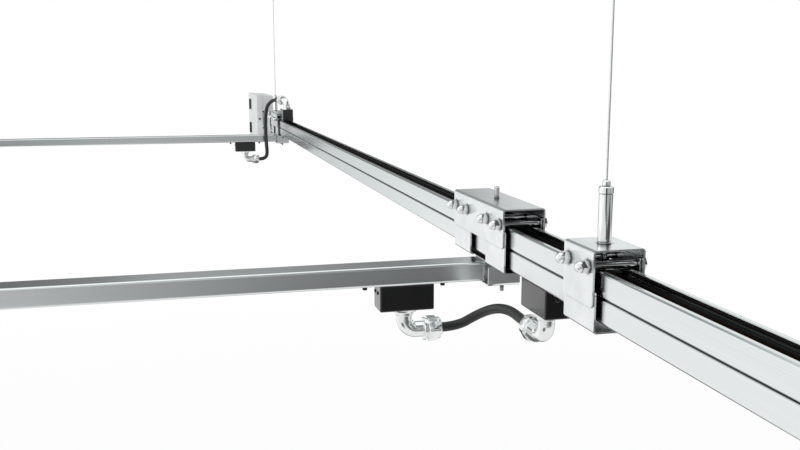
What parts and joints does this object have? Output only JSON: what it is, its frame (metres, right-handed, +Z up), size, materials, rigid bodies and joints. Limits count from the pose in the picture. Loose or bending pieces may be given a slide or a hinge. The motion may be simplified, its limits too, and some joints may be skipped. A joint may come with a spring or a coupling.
{
  "type": "track busway",
  "caption": "Suspended track busway: a double run of slotted track on wire hangers, crossing brackets with laterals, plug-in boxes with corded jumpers and an end feed box.",
  "frame": {"origin": "top of the near ceiling fitting, where the suspension is held", "axes": "+Y along the main run away from the near end, +X to its right, +Z up"},
  "size_m": [1.235, 4.0236, 0.6649],
  "materials": {
    "anodised_aluminium": "satin anodised extrusion",
    "liner_plastic": "matt black extruded liner",
    "copper": "plain drawn copper",
    "cap_plastic": "matt black moulding",
    "plated_fastener": "bright nickel plate",
    "bracket_steel": "satin zinc plated sheet",
    "wire_steel": "stranded steel wire",
    "box_plastic": "glossy black moulding",
    "connector_metal": "bright cast metal",
    "cord_rubber": "smooth black jacket",
    "feed_paint": "light grey powder coat",
    "hinge_plastic": "matt black",
    "black_screw": "black oxide"
  },
  "bodies": {
    "busway": {"connectors_far": "connector_metal", "connectors_near": "connector_metal", "crossing_acorn_nuts": "plated_fastener", "crossing_cross_bolts": "plated_fastener", "crossing_far_cap": "bracket_steel", "crossing_far_carrier": "bracket_steel", "crossing_far_carrier_bolts": "plated_fastener", "crossing_far_carrier_grip": "plated_fastener", "crossing_far_saddle": "bracket_steel", "crossing_far_stud": "plated_fastener", "crossing_near_cap": "bracket_steel", "crossing_near_carrier": "bracket_steel", "crossing_near_carrier_bolts": "plated_fastener", "crossing_near_carrier_grip": "plated_fastener", "crossing_near_saddle": "bracket_steel", "crossing_near_stud": "plated_fastener", "feed_body": "feed_paint", "feed_cover": "feed_paint", "feed_hinge_fixed_leaves": "hinge_plastic", "gland_nuts_far": "connector_metal", "gland_nuts_near": "connector_metal", "hanger_acorn_nuts": "plated_fastener", "hanger_cross_bolts": "plated_fastener", "hanger_far_cap": "bracket_steel", "hanger_far_ceiling_fitting": "plated_fastener", "hanger_far_gripper": "plated_fastener", "hanger_far_saddle": "bracket_steel", "hanger_far_stud": "plated_fastener", "hanger_far_wire": "wire_steel", "hanger_near_cap": "bracket_steel", "hanger_near_ceiling_fitting": "plated_fastener", "hanger_near_gripper": "plated_fastener", "hanger_near_saddle": "bracket_steel", "hanger_near_stud": "plated_fastener", "hanger_near_wire": "wire_steel", "jumper_far": "cord_rubber", "jumper_near": "cord_rubber", "lateral_far_conductors": "copper", "lateral_far_end_caps": "cap_plastic", "lateral_far_housing": "anodised_aluminium", "lateral_far_liner": "liner_plastic", "lateral_near_conductors": "copper", "lateral_near_end_caps": "cap_plastic", "lateral_near_housing": "anodised_aluminium", "lateral_near_liner": "liner_plastic", "lock_screws": "black_screw", "main_conductors": "copper", "main_end_caps": "cap_plastic", "main_lower_housing": "anodised_aluminium", "main_lower_liner": "liner_plastic", "main_upper_housing": "anodised_aluminium", "main_upper_liner": "liner_plastic", "plug_lateral_far": "box_plastic", "plug_lateral_near": "box_plastic", "plug_main_top": "box_plastic", "plug_main_under": "box_plastic"},
    "door": {"feed_door": "feed_paint", "feed_hinge_door_leaves": "hinge_plastic", "feed_lock": "black_screw"}
  },
  "joints": [
    {"name": "feed_door_hinge", "type": "hinge", "parent": "busway", "child": "door", "pos_m": [-0.0522, 3.53675, -0.5172], "axis": [0, 0, -1], "range_deg": [0, 110]}
  ]
}
